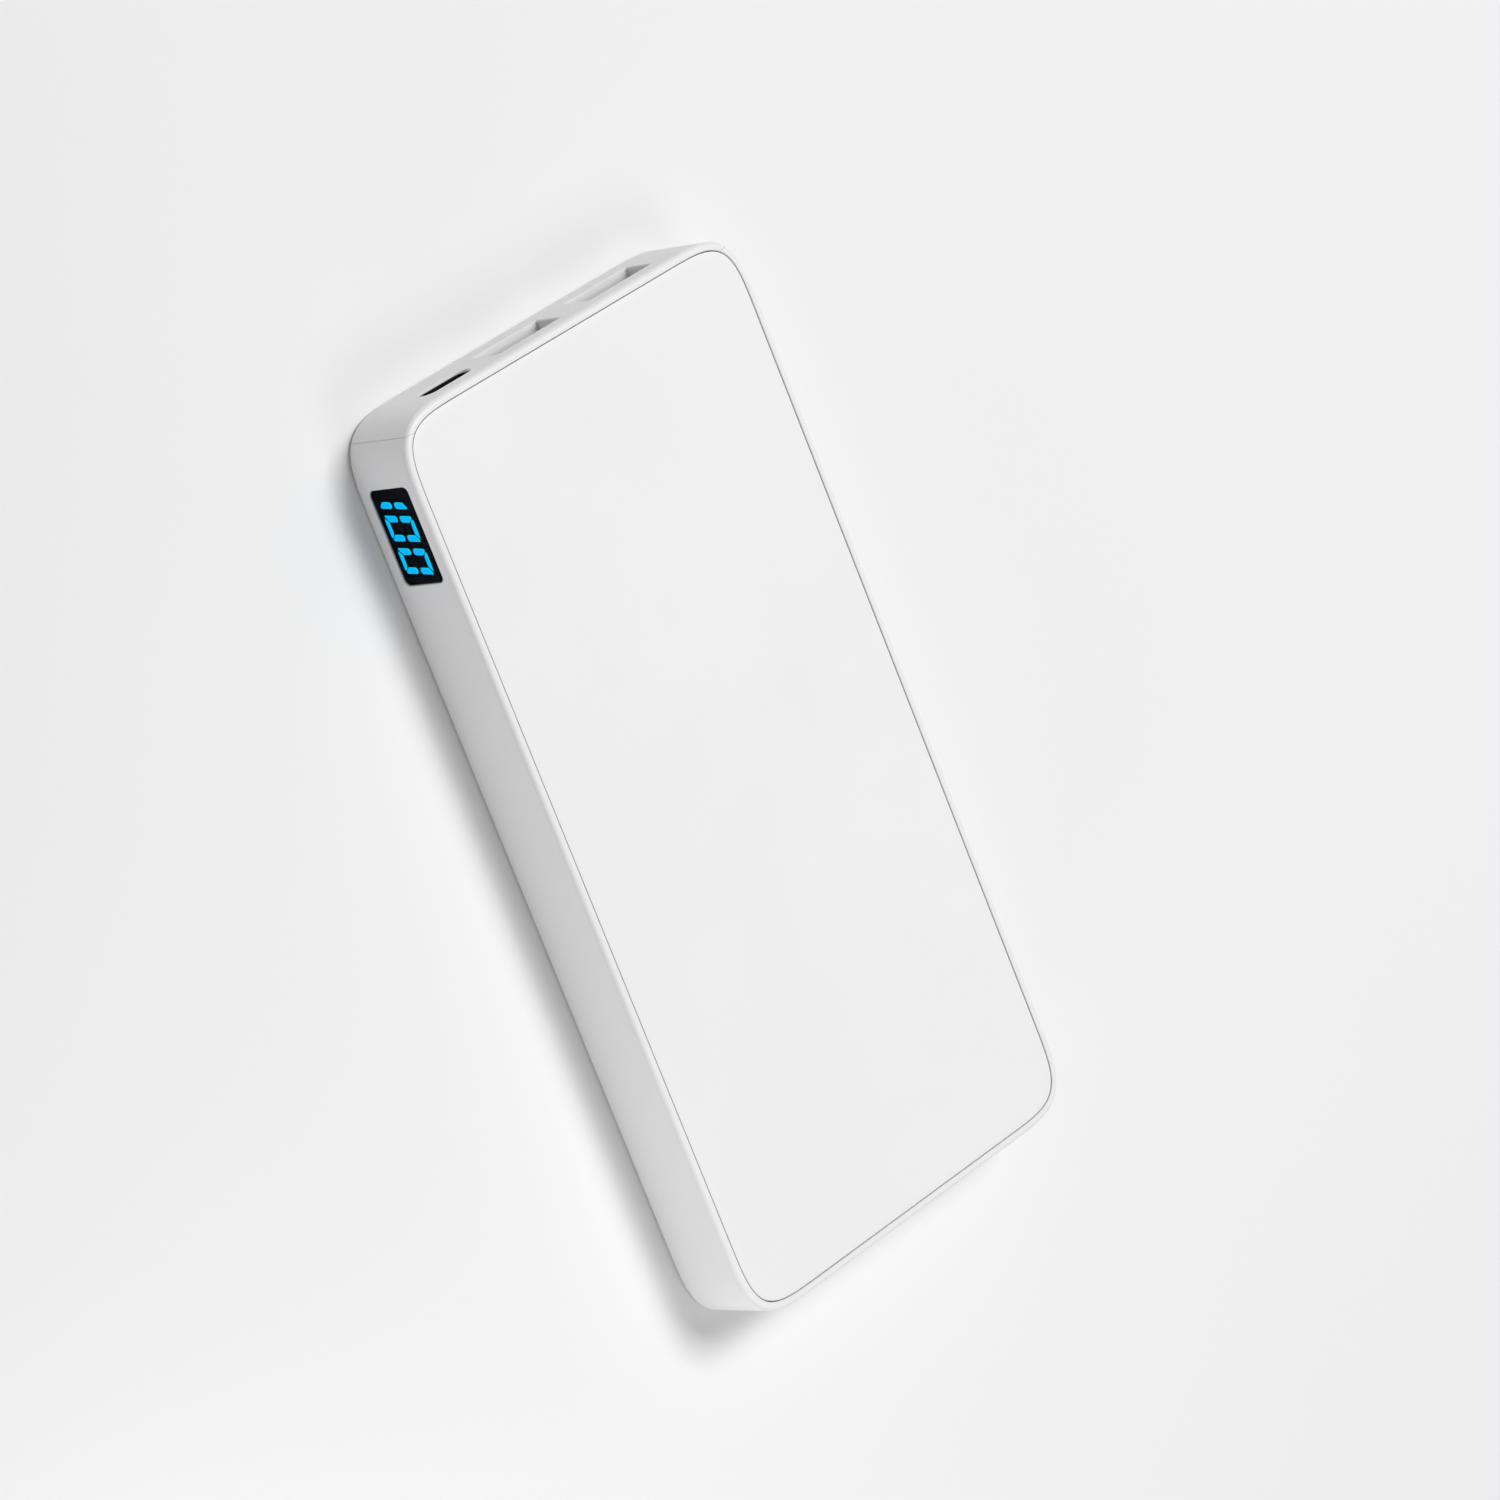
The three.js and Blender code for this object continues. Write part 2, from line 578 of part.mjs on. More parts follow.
function mainBoard() {
  const boardZ = [BOARD_BACK_Z, BOARD_FRONT_Z];
  let board = box([-BOARD_HALF_WIDTH, BOARD_HALF_WIDTH], BOARD_Y, boardZ)
    .intersect(slab(WALL + CLEARANCE + LEDGE_DEPTH, wholeHeight));
  const notchY = around(WINDOW_CENTRE[0], DISPLAY_BOARD[0] + 2 * NOTCH_MARGIN);
  const notchX = [-FAR, DISPLAY_BOARD_X[1] + PIN_THICKNESS + CLEARANCE];
  board = board.subtract(box(notchX, notchY, wholeHeight));
  for (const centre of [...CAP_POSTS, ...FRAME_POSTS]) {
    board = board.subtract(post(centre, SCREW_HOLE, wholeHeight, 12));
  }
  return board;
}

function boardScrew(centre) {
  const seat = BOARD_FRONT_Z + SCREW_SEAT_GAP;
  const head = post(centre, SCREW_HEAD[0], [seat, seat + SCREW_HEAD[1]], 16);
  const shank = post(centre, SCREW_DIAMETER, [seat - SCREW_LENGTH, seat + JOIN], 12);
  const [slotLength, slotWidth, slotDepth] = SCREW_SLOT;
  const slotZ = [seat + SCREW_HEAD[1] - slotDepth, seat + SCREW_HEAD[1] + OVERSHOOT];
  return head.add(shank)
    .subtract(box(around(centre[0], slotLength), around(centre[1], slotWidth), slotZ))
    .subtract(box(around(centre[0], slotWidth), around(centre[1], slotLength), slotZ));
}

// Parts stand on the board's back side, so each one grows from the board towards the back panel.
function onBoard(x, y, [width, depth, height]) {
  const top = BOARD_BACK_Z - FIT;
  return box(around(x, width), around(y, depth), [top - height, top]);
}

function canCapacitor(centre) {
  const top = BOARD_BACK_Z - FIT;
  const [diameter, height] = CAPACITOR_CAN;
  return onBoard(...centre, CAPACITOR_BASE).add(post(centre, diameter, [top - height, top - 2 * JOIN]));
}

function powerInductor() {
  const [diameter, height] = INDUCTOR_CROWN;
  const coreEnd = BOARD_BACK_Z - FIT - INDUCTOR[2];
  const crown = post(INDUCTOR_CENTRE, diameter, [coreEnd - height, coreEnd + 2 * JOIN], 24);
  return onBoard(...INDUCTOR_CENTRE, INDUCTOR).add(crown);
}

const SIDES = ['left', 'right'];
place('main_board', mainBoard(), boardGreen);
[...CAP_POSTS, ...FRAME_POSTS].forEach((centre, index) => {
  place(`board_screw_${index + 1}`, boardScrew(centre), steel);
});
place('power_inductor', powerInductor(), ferrite);
place('controller_chip', onBoard(-7.5, 49, CONTROLLER_CHIP), chipResin);
place('charging_chip', onBoard(-19.5, 50.5, CHARGING_CHIP), chipResin);
place('switching_transistor_1', onBoard(13.6, 50.6, TRANSISTOR), chipResin);
place('switching_transistor_2', onBoard(13.6, 44.2, TRANSISTOR), chipResin);
[[20.6, 49.6], [20.6, 44], [-13.6, 44.8]].forEach((centre, index) => {
  place(`capacitor_${index + 1}`, canCapacitor(centre), aluminium);
});

// ---- USB receptacles ----------------------------------------------------------------------

function foldedShell([width, height, depth], metal, radius, [x, z], mouthY) {
  const outside = roundedShape(width, height, radius);
  const inside = roundedShape(width - 2 * metal, height - 2 * metal, radius - metal);
  return alongY(outside, [x, z], [mouthY - depth, mouthY])
    .subtract(alongY(inside, [x, z], [mouthY - depth - OVERSHOOT, mouthY + OVERSHOOT]));
}

// The size of a plastic block that just clears the inside of a shell.
function blockSize([width, height], metal) {
  const edge = 2 * (metal + SHELL_INNER_GAP);
  return [width - edge, height - edge];
}

function usbATongue(x) {
  const rear = USB_A_MOUTH_Y - USB_A_SHELL[2] + SHELL_REAR_GAP;
  const section = roundedShape(...blockSize(USB_A_SHELL, USB_A_METAL), USB_A_BLOCK_CORNER);
  const block = alongY(section, [x, USB_A_SHELL_Z], [rear, rear + USB_A_BLOCK_DEPTH]);
  const tongue = box(around(x, USB_A_TONGUE[0]), [rear, USB_A_TONGUE_TIP_Y],
    around(USB_A_TONGUE_Z, USB_A_TONGUE[1]));
  return block.add(tongue);
}

function usbAContact(x) {
  const [width, length, thickness] = USB_A_CONTACT;
  const front = USB_A_TONGUE_TIP_Y - USB_A_CONTACT_SETBACK;
  const under = USB_A_TONGUE_Z + USB_A_TONGUE[1] / 2 + USB_A_CONTACT_GAP;
  return box(around(x, width), [front - length, front], [under, under + thickness]);
}

USB_A_CENTRES.forEach((x, index) => {
  const side = SIDES[index];
  const middle = [x, USB_A_SHELL_Z];
  const shell = foldedShell(USB_A_SHELL, USB_A_METAL, USB_A_SHELL_CORNER, middle, USB_A_MOUTH_Y);
  place(`usb_a_shell_${side}`, shell, steel);
  place(`usb_a_tongue_${side}`, usbATongue(x), blackPlastic);
  USB_A_CONTACT_X.forEach((offset, contact) => {
    place(`usb_a_contact_${side}_${contact + 1}`, usbAContact(x + offset), goldPlate);
  });
});

function usbCTongue() {
  const rear = USB_C_MOUTH_Y - USB_C_SHELL[2] + SHELL_REAR_GAP;
  const middle = [USB_C_CENTRE, USB_C_MIDDLE_Z];
  const [width, height] = blockSize(USB_C_SHELL, USB_C_METAL);
  const section = roundedShape(width, height, height / 2 - FULL_ROUND_MARGIN);
  const block = alongY(section, middle, [rear, rear + USB_C_BLOCK_DEPTH]);
  const root = rear + USB_C_BLOCK_DEPTH - 2 * JOIN;
  const collar = box(around(USB_C_CENTRE, USB_C_COLLAR[0]), [root, root + USB_C_COLLAR[1]],
    around(USB_C_MIDDLE_Z, USB_C_COLLAR[2]));
  const tip = box(around(USB_C_CENTRE, USB_C_TONGUE[0]), [root, USB_C_MOUTH_Y - USB_C_TONGUE_RECESS],
    around(USB_C_MIDDLE_Z, USB_C_TONGUE[1]));
  return block.add(collar).add(tip);
}

const USB_C_SHELL_ROUND = USB_C_SHELL[1] / 2 - 2 * FULL_ROUND_MARGIN;
place('usb_c_shell', foldedShell(USB_C_SHELL, USB_C_METAL, USB_C_SHELL_ROUND,
  [USB_C_CENTRE, USB_C_MIDDLE_Z], USB_C_MOUTH_Y), steel);
place('usb_c_tongue', usbCTongue(), blackPlastic);

// ---- Cell ---------------------------------------------------------------------------------

const CELL_MIDDLE_Z = (CELL_Z[0] + CELL_Z[1]) / 2;

// The pouch is a rounded block with a thin sealed terrace at the tab end.
function batteryCell() {
  const section = roundedShape(2 * CELL_HALF_WIDTH, CELL_Z[1] - CELL_Z[0], CELL_ROUND);
  const body = alongY(section, [0, CELL_MIDDLE_Z], CELL_Y, 4);
  const terrace = box(around(0, 2 * (CELL_HALF_WIDTH - TERRACE_SIDE_STEP)),
    [CELL_Y[1] - OVERSHOOT, TERRACE_END_Y], around(CELL_MIDDLE_Z, TERRACE_THICKNESS));
  return body.add(terrace);
}

const PROTECTION_BACK_Z = CELL_MIDDLE_Z + PROTECTION_BOARD_LIFT;
const PROTECTION_FRONT_Z = PROTECTION_BACK_Z + PROTECTION_BOARD[2];

function terraceTape() {
  const [width, depth] = TERRACE_TAPE;
  const tapeY = [TERRACE_END_Y - FIT - depth, TERRACE_END_Y - FIT];
  const terraceFrontZ = CELL_MIDDLE_Z + TERRACE_THICKNESS / 2;
  const tapeZ = [terraceFrontZ + TERRACE_TAPE_GAP, PROTECTION_BACK_Z - TERRACE_TAPE_GAP];
  return box(around(0, width), tapeY, tapeZ);
}

function protectionBoard() {
  const boardZ = [PROTECTION_BACK_Z, PROTECTION_FRONT_Z];
  const boardY = around(PROTECTION_BOARD_CENTRE_Y, PROTECTION_BOARD[1]);
  let board = box(around(0, PROTECTION_BOARD[0]), boardY, boardZ);
  const [width, depth, height] = PROTECTION_PART;
  const partZ = [PROTECTION_FRONT_Z - JOIN, PROTECTION_FRONT_Z + height];
  for (const x of PROTECTION_PART_X) {
    board = board.add(box(around(x, width), around(PROTECTION_BOARD_CENTRE_Y, depth), partZ));
  }
  return board;
}

// Each nickel tab leaves the terrace edge, folds up and over, and ends on the protection board.
function cellTab(x) {
  const tabX = around(x, TAB_WIDTH);
  const foldY = [TERRACE_END_Y + TAB_DROP, TERRACE_END_Y + TAB_DROP + TAB_THICKNESS];
  const overZ = [PROTECTION_FRONT_Z + FIT, PROTECTION_FRONT_Z + FIT + TAB_THICKNESS];
  const rise = box(tabX, foldY, [CELL_MIDDLE_Z - TAB_DROP, overZ[1]]);
  return rise.add(box(tabX, [PROTECTION_BOARD_CENTRE_Y - TAB_REACH, foldY[1]], overZ));
}

// A lead rises from the protection board and bends over to its pad under the main board.
function lead(x) {
  const start = PROTECTION_FRONT_Z;
  const route = new THREE.CatmullRomCurve3([
    new THREE.Vector3(x, PROTECTION_BOARD_CENTRE_Y, start + 0.1),
    new THREE.Vector3(x, PROTECTION_BOARD_CENTRE_Y, start + 0.8),
    new THREE.Vector3(x, 40, start + 1.45),
    new THREE.Vector3(x, 42.4, start + 0.55),
    new THREE.Vector3(x, 44.2, start + 0.4),
    new THREE.Vector3(x, 45.2, BOARD_BACK_Z - 0.9),
    new THREE.Vector3(x, 45.2, BOARD_BACK_Z - FIT),
  ]);
  const section = new THREE.Shape();
  section.absarc(0, 0, LEAD_DIAMETER / 2, 0, 2 * Math.PI);
  return solid(new THREE.ExtrudeGeometry(section, { extrudePath: route, steps: 20, curveSegments: 4 }));
}

place('battery_cell', batteryCell(), pouchFoil);
place('terrace_tape', terraceTape(), amberTape);
place('protection_board', protectionBoard(), boardGreen);
place('positive_tab', cellTab(TAB_CENTRES[0]), nickel);
place('negative_tab', cellTab(TAB_CENTRES[1]), nickel);
place('positive_lead', lead(LEAD_CENTRES[0]), redSleeve);
place('negative_lead', lead(LEAD_CENTRES[1]), blackSleeve);
CELL_TAPE_CENTRES.forEach((x, index) => {
  const tape = box(around(x, CELL_TAPE_WIDTH), CELL_TAPE_Y, [LEDGE_BACK, CELL_Z[0] - FIT]);
  place(`cell_tape_${SIDES[index]}`, tape, adhesive);
});
const foamPad = box(around(0, 2 * CELL_FOAM_HALF_WIDTH), CELL_FOAM_Y, [CELL_Z[1] + FIT, LEDGE_FRONT - FIT]);
place('cell_foam', foamPad, foam);

export default powerBank;
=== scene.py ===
"""Visual model of a slim white power bank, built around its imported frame. Metres, +Z out of the front."""

import math

import bmesh
import bpy
from mathutils import Matrix, Vector


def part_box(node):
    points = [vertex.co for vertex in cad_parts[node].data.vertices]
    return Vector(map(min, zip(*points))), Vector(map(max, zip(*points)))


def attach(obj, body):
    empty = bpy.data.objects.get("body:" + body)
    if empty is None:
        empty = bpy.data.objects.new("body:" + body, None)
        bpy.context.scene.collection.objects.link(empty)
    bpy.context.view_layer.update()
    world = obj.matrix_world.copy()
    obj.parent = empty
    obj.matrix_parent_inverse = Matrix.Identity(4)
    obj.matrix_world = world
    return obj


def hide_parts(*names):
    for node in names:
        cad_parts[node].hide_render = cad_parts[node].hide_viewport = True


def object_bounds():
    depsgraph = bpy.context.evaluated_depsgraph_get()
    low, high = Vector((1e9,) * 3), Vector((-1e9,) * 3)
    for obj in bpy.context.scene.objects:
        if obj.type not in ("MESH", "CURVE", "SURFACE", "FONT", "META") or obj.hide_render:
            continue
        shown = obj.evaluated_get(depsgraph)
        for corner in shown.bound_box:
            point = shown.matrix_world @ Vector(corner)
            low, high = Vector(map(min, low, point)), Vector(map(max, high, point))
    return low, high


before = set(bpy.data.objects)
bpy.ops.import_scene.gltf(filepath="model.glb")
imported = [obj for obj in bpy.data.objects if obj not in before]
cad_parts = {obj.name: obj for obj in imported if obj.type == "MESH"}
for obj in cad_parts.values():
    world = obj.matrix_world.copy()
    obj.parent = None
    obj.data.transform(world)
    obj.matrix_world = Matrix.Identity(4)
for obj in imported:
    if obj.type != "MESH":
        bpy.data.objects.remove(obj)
frame_low, frame_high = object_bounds()

MM = 0.001
BODY = "case"
BUTTON_BODY = "button"

# ---- Dimensions ---------------------------------------------------------------------------

LENGTH = frame_high.y - frame_low.y
WIDTH = frame_high.x - frame_low.x
THICKNESS = frame_high.z - frame_low.z
HALF_LENGTH = LENGTH / 2
HALF_WIDTH = WIDTH / 2

# The corners are superellipses, drawn along the groove round the panels and offset from there.
GROOVE_INSET = 1.34 * MM
GROOVE_WIDTH = 0.19 * MM
CORNER_EXTENT = 14.8 * MM
CORNER_EXPONENT = 5
CORNER_STEPS = 40
EDGE_ROUND = 0.8 * MM
RIM_CHAMFER = 0.1 * MM
WALL = GROOVE_INSET - GROOVE_WIDTH / 2
PANEL_INSET = GROOVE_INSET + GROOVE_WIDTH / 2
PANEL_RIB_HEIGHT = 0.9 * MM
PANEL_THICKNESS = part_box("back_panel")[1].z - PANEL_RIB_HEIGHT
PANEL_CROWN_WIDTH = 1.3 * MM
PANEL_CROWN_DROP = 0.15 * MM
PANEL_CROWN_STEPS = 14
LEDGE_DEPTH = 1.3 * MM
LEDGE_THICKNESS = 0.7 * MM
LEDGE_GAP = 0.1 * MM
SEAM_GAP = 0.045 * MM
CAD_SEAM_HALF_GAP = 0.05 * MM
SEAM_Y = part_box("middle_frame")[1].y + CAD_SEAM_HALF_GAP
CAP_FACE_DEPTH = 4 * MM
CUT_OVERSHOOT = 1 * MM
CUT_DEPTH = 3 * MM
FULL_ROUND_MARGIN = 1e-6

# Openings in the end cap, as (centre x, centre z, width, height, corner radius).
USB_A_OPENINGS = [
    (-3.87 * MM, 6.78 * MM, 13.2 * MM, 5.65 * MM, 0.35 * MM),
    (15.25 * MM, 6.78 * MM, 13.2 * MM, 5.65 * MM, 0.35 * MM),
]
USB_C_OPENING = (-19.85 * MM, 7.88 * MM, 9.45 * MM, 3.55 * MM, 1.774 * MM)
LIP_CHAMFER = 0.14 * MM

# Contacts on both faces of the USB-C tongue.
USB_C_CONTACT_COUNT = 12
USB_C_CONTACT_PITCH = 0.5 * MM
USB_C_CONTACT_WIDTH = 0.26 * MM
USB_C_CONTACT_LENGTH = 2.75 * MM
USB_C_CONTACT_SETBACK = 0.45 * MM
USB_C_CONTACT_PROUD = 0.02 * MM
USB_C_CONTACT_SUNK = 0.03 * MM
USB_C_TONGUE_HALF = 0.35 * MM

# Display, as (centre y, centre z) and (length, height).
WINDOW_CENTRE = (54.87 * MM, 6.7 * MM)
WINDOW_SIZE = (14.7 * MM, 8.5 * MM)
WINDOW_ROUND = 1.0 * MM
DIGIT_PITCH = 5.03 * MM
FIRST_FULL_DIGIT_Y = 56.08 * MM
DIGIT_MIDDLE_Z = 6.44 * MM
DIGIT_SLANT = 0.096
STROKE = 0.97 * MM
STROKE_SPACING = 2.94 * MM
DIGIT_HEIGHT = 5.94 * MM
LEVEL_STROKE = 0.68 * MM

# Button, as (centre y, centre z) and (length, height).
BUTTON_CENTRE = (54.87 * MM, 6.9 * MM)
BUTTON_SIZE = (9.0 * MM, 3.0 * MM)
BUTTON_GAP = 0.16 * MM
BUTTON_CROWN_WIDTH = 0.45 * MM
BUTTON_CROWN_HEIGHT = 0.22 * MM
BUTTON_WALL = 1.19 * MM
BUTTON_FLANGE_GAP = 0.1 * MM
BUTTON_FLANGE_EXTRA = (2.4 * MM, 1.6 * MM)
BUTTON_FLANGE_ROUND = 1 * MM

# Small rounded edges on the pieces inside.
NODE_BEVEL = 0.05 * MM
NODE_BEVEL_ANGLE = 50

# Camera, as it stood for the photograph.
CAMERA_AZIMUTH = math.radians(-112.886)
CAMERA_ELEVATION = math.radians(48.643)
CAMERA_ROLL = math.radians(85.863)
CAMERA_DISTANCE = 1.0518
CAMERA_AIM = Vector((8.04 * MM, 0.54 * MM, 6.5 * MM))
CAMERA_LENS = 173.69
CAMERA_SENSOR = 36


# ---- Mesh tools ---------------------------------------------------------------------------


def outline(inset, steps=CORNER_STEPS):
    """The bank's plan outline as a closed list of (x, y), `inset` inside its outer wall."""
    offset = GROOVE_INSET - inset
    centre_x = HALF_WIDTH - GROOVE_INSET - CORNER_EXTENT
    centre_y = HALF_LENGTH - GROOVE_INSET - CORNER_EXTENT
    quarter = []
    for step in range(steps + 1):
        turn = math.pi / 4 * (1 - math.cos(math.pi * step / steps))
        along = max(math.cos(turn), 0) ** (1 / (CORNER_EXPONENT - 1))
        across = math.sin(turn) ** (1 / (CORNER_EXPONENT - 1))
        total = along**CORNER_EXPONENT + across**CORNER_EXPONENT
        size = CORNER_EXTENT * total ** (-1 / CORNER_EXPONENT)
        x = centre_x + size * along + offset * math.cos(turn)
        y = centre_y + size * across + offset * math.sin(turn)
        quarter.append((x, y))
    mirrored = quarter[::-1]
    points = list(quarter)
    points += [(-x, y) for x, y in mirrored]
    points += [(-x, -y) for x, y in quarter]
    points += [(x, -y) for x, y in mirrored]
    return points


def arc(centre_u, centre_v, radius_u, radius_v, start, end, steps):
    """Points of an elliptical arc, angles in degrees."""
    angles = [math.radians(start + (end - start) * i / steps) for i in range(steps + 1)]
    return [(centre_u + radius_u * math.cos(a), centre_v + radius_v * math.sin(a)) for a in angles]


def rounded_outline(width, height, radius, steps=8):
    """A rectangle with round corners as a closed list of (u, v) about its middle."""
    u, v = width / 2 - radius, height / 2 - radius
    points = []
    for sign_u, sign_v, start in ((1, 1, 0), (-1, 1, 90), (-1, -1, 180), (1, -1, 270)):
        points += arc(sign_u * u, sign_v * v, radius, radius, start, start + 90, steps)
    return points


def new_object(name, mesh_data):
    """An object of that bmesh, linked to the scene."""
    mesh = bpy.data.meshes.new(name)
    mesh_data.normal_update()
    mesh_data.to_mesh(mesh)
    mesh_data.free()
    obj = bpy.data.objects.new(name, mesh)
    bpy.context.scene.collection.objects.link(obj)
    return obj


def loft(rings, close_path=False, caps=True):
    """A skin over rings of equally many points. A closed path joins the last ring to the first."""
    data = bmesh.new()
    loops = [[data.verts.new(point) for point in ring] for ring in rings]
    count = len(rings[0])
    pairs = list(zip(loops, loops[1:]))
    if close_path:
        pairs.append((loops[-1], loops[0]))
    for lower, upper in pairs:
        for i in range(count):
            j = (i + 1) % count
            data.faces.new((lower[i], lower[j], upper[j], upper[i]))
    if caps and not close_path:
        data.faces.new(loops[0][::-1])
        data.faces.new(loops[-1])
    bmesh.ops.recalc_face_normals(data, faces=data.faces)
    return data


def sweep_profile(profile):
    """A ring-shaped solid: the closed (inset, z) profile carried round the outline."""
    rings = [[(x, y, z) for x, y in outline(inset)] for inset, z in profile]
    return loft(rings, close_path=True)


def prism_along_y(shape, middle, y_sizes):
    """A prism drawn in X and Z. y_sizes is a list of (y, grow), so it may flare at its mouth."""
    x, z = middle
    rings = []
    for y, grow in y_sizes:
        rings.append([(x + u * grow[0], y, z + v * grow[1]) for u, v in shape])
    return loft(rings)


def prism_along_x(shape, middle, x_sizes):
    """A prism drawn in Y and Z. x_sizes is a list of (x, grow), so it may flare at its mouth."""
    y, z = middle
    rings = []
    for x, grow in x_sizes:
        rings.append([(x, y + u * grow[0], z + v * grow[1]) for u, v in shape])
    return loft(rings)


def grown(size, by):
    """Scale factors that make a shape of that size wider by `by` all round."""
    return ((size[0] + 2 * by) / size[0], (size[1] + 2 * by) / size[1])


def cut(obj, cutter_data, operation="DIFFERENCE"):
    """Cuts or joins obj with a bmesh, exactly, and applies the result."""
    cutter = new_object("cutter", cutter_data)
    modifier = obj.modifiers.new("cut", "BOOLEAN")
    modifier.object = cutter
    modifier.operation = operation
    modifier.solver = "EXACT"
    apply_modifiers(obj)
    bpy.data.objects.remove(cutter)


def apply_modifiers(obj):
    """Replaces obj's mesh by what its modifiers make of it."""
    graph = bpy.context.evaluated_depsgraph_get()
    result = bpy.data.meshes.new_from_object(obj.evaluated_get(graph))
    obj.modifiers.clear()
    obj.data = result


def keep_side(obj, point, normal):
    """Cuts obj by a plane, keeps what lies on the side away from normal, and closes the cut."""
    data = bmesh.new()
    data.from_mesh(obj.data)
    geometry = data.verts[:] + data.edges[:] + data.faces[:]
    bmesh.ops.bisect_plane(data, geom=geometry, plane_co=point, plane_no=normal, clear_outer=True)
    edge_loops = [edge for edge in data.edges if edge.is_boundary]
    bmesh.ops.edgenet_fill(data, edges=edge_loops)
    bmesh.ops.recalc_face_normals(data, faces=data.faces)
    data.to_mesh(obj.data)
    data.free()


def smooth(obj, angle=35):
    """Smooth shading, with edges sharper than `angle` degrees kept crisp."""
    data = bmesh.new()
    data.from_mesh(obj.data)
    limit = math.radians(angle)
    for face in data.faces:
        face.smooth = True
    for edge in data.edges:
        faces = edge.link_faces
        edge.smooth = len(faces) == 2 and faces[0].normal.angle(faces[1].normal, 0) < limit
    data.to_mesh(obj.data)
    data.free()
    weighted = obj.modifiers.new("even shading", "WEIGHTED_NORMAL")
    weighted.keep_sharp = True
    weighted.weight = 80


def finish_piece(obj, material, body=BODY, nodes=()):
    """Gives a piece its material, slot and body, and hides the CAD nodes that it stands for."""
    obj.data.materials.clear()
    obj.data.materials.append(material)
    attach(obj, body)
    if nodes:
        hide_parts(*nodes)
    return obj


# ---- Materials ----------------------------------------------------------------------------


class Shader:
    """A new material with short calls for its nodes."""

    def __init__(self, name, **sockets):
        self.material = bpy.data.materials.new(name)
        self.material.use_nodes = True
        self.nodes = self.material.node_tree.nodes
        self.links = self.material.node_tree.links
        self.surface = self.nodes["Principled BSDF"]
        for socket, value in sockets.items():
            self.surface.inputs[socket.replace("_", " ")].default_value = value
        self.place = self.nodes.new("ShaderNodeTexCoord").outputs["Object"]

    def noise(self, scale, detail=3, roughness=0.5, stretch=None):
        """Noise of `scale` cells per metre, which may be stretched along an axis."""
        node = self.nodes.new("ShaderNodeTexNoise")
        node.inputs["Scale"].default_value = scale
        node.inputs["Detail"].default_value = detail
        node.inputs["Roughness"].default_value = roughness
        vector = self.place
        if stretch:
            mapping = self.nodes.new("ShaderNodeMapping")
            mapping.inputs["Scale"].default_value = stretch
            self.links.new(self.place, mapping.inputs["Vector"])
            vector = mapping.outputs["Vector"]
        self.links.new(vector, node.inputs["Vector"])
        return node.outputs["Fac"]

    def remap(self, value, low, high, start=0.3, end=0.7):
        """value from start..end carried to low..high."""
        node = self.nodes.new("ShaderNodeMapRange")
        node.inputs["From Min"].default_value = start
        node.inputs["From Max"].default_value = end
        node.inputs["To Min"].default_value = low
        node.inputs["To Max"].default_value = high
        self.links.new(value, node.inputs["Value"])
        return node.outputs["Result"]

    def colours(self, factor, *stops):
        """A colour ramp of (position, colour) stops over factor, put on the base colour."""
        node = self.nodes.new("ShaderNodeValToRGB")
        ramp = node.color_ramp
        while len(ramp.elements) < len(stops):
            ramp.elements.new(0.5)
        for element, (position, colour) in zip(ramp.elements, stops):
            element.position = position
            element.color = (*colour, 1)
        self.links.new(factor, node.inputs["Fac"])
        self.links.new(node.outputs["Color"], self.surface.inputs["Base Color"])
        return node.outputs["Color"]

    def roughness(self, value):
        self.links.new(value, self.surface.inputs["Roughness"])

    def bump(self, *layers):
        """Bump from (height, strength, depth in metres) layers, one on another."""
        normal = None
        for height, strength, depth in layers:
            node = self.nodes.new("ShaderNodeBump")
            node.inputs["Strength"].default_value = strength
            node.inputs["Distance"].default_value = depth
            self.links.new(height, node.inputs["Height"])
            if normal:
                self.links.new(normal, node.inputs["Normal"])
            normal = node.outputs["Normal"]
        self.links.new(normal, self.surface.inputs["Normal"])


def moulded_plastic(name, light, shade, rough, grain=1.0, grain_scale=5200):
    """Moulded plastic: a fine spark-eroded grain, faint flow clouds and a slightly uneven gloss."""
    shader = Shader(name, IOR=1.5)
    clouds = shader.noise(38, 4)
    shader.colours(clouds, (0.32, shade), (0.68, light))
    patches = shader.noise(90, 5)
    shader.roughness(shader.remap(patches, rough - 0.035, rough + 0.035))
    grain_height = shader.noise(grain_scale, 2)
    shader.bump((shader.noise(25, 1), 0.05, 0.0006), (grain_height, 0.22 * grain, 0.00003))
    return shader


def painted(name, light, shade, rough, scale=400, metallic=0.0, bump=0.15, depth=0.00003, stretch=None,
            **sockets):
    """A two-tone surface with noise at one scale in its colour, gloss and bump."""
    shader = Shader(name, Metallic=metallic, **sockets)
    height = shader.noise(scale, 4, stretch=stretch)
    shader.colours(height, (0.3, shade), (0.7, light))
    shader.roughness(shader.remap(height, rough - 0.06, rough + 0.06))
    shader.bump((height, bump, depth))
    return shader.material


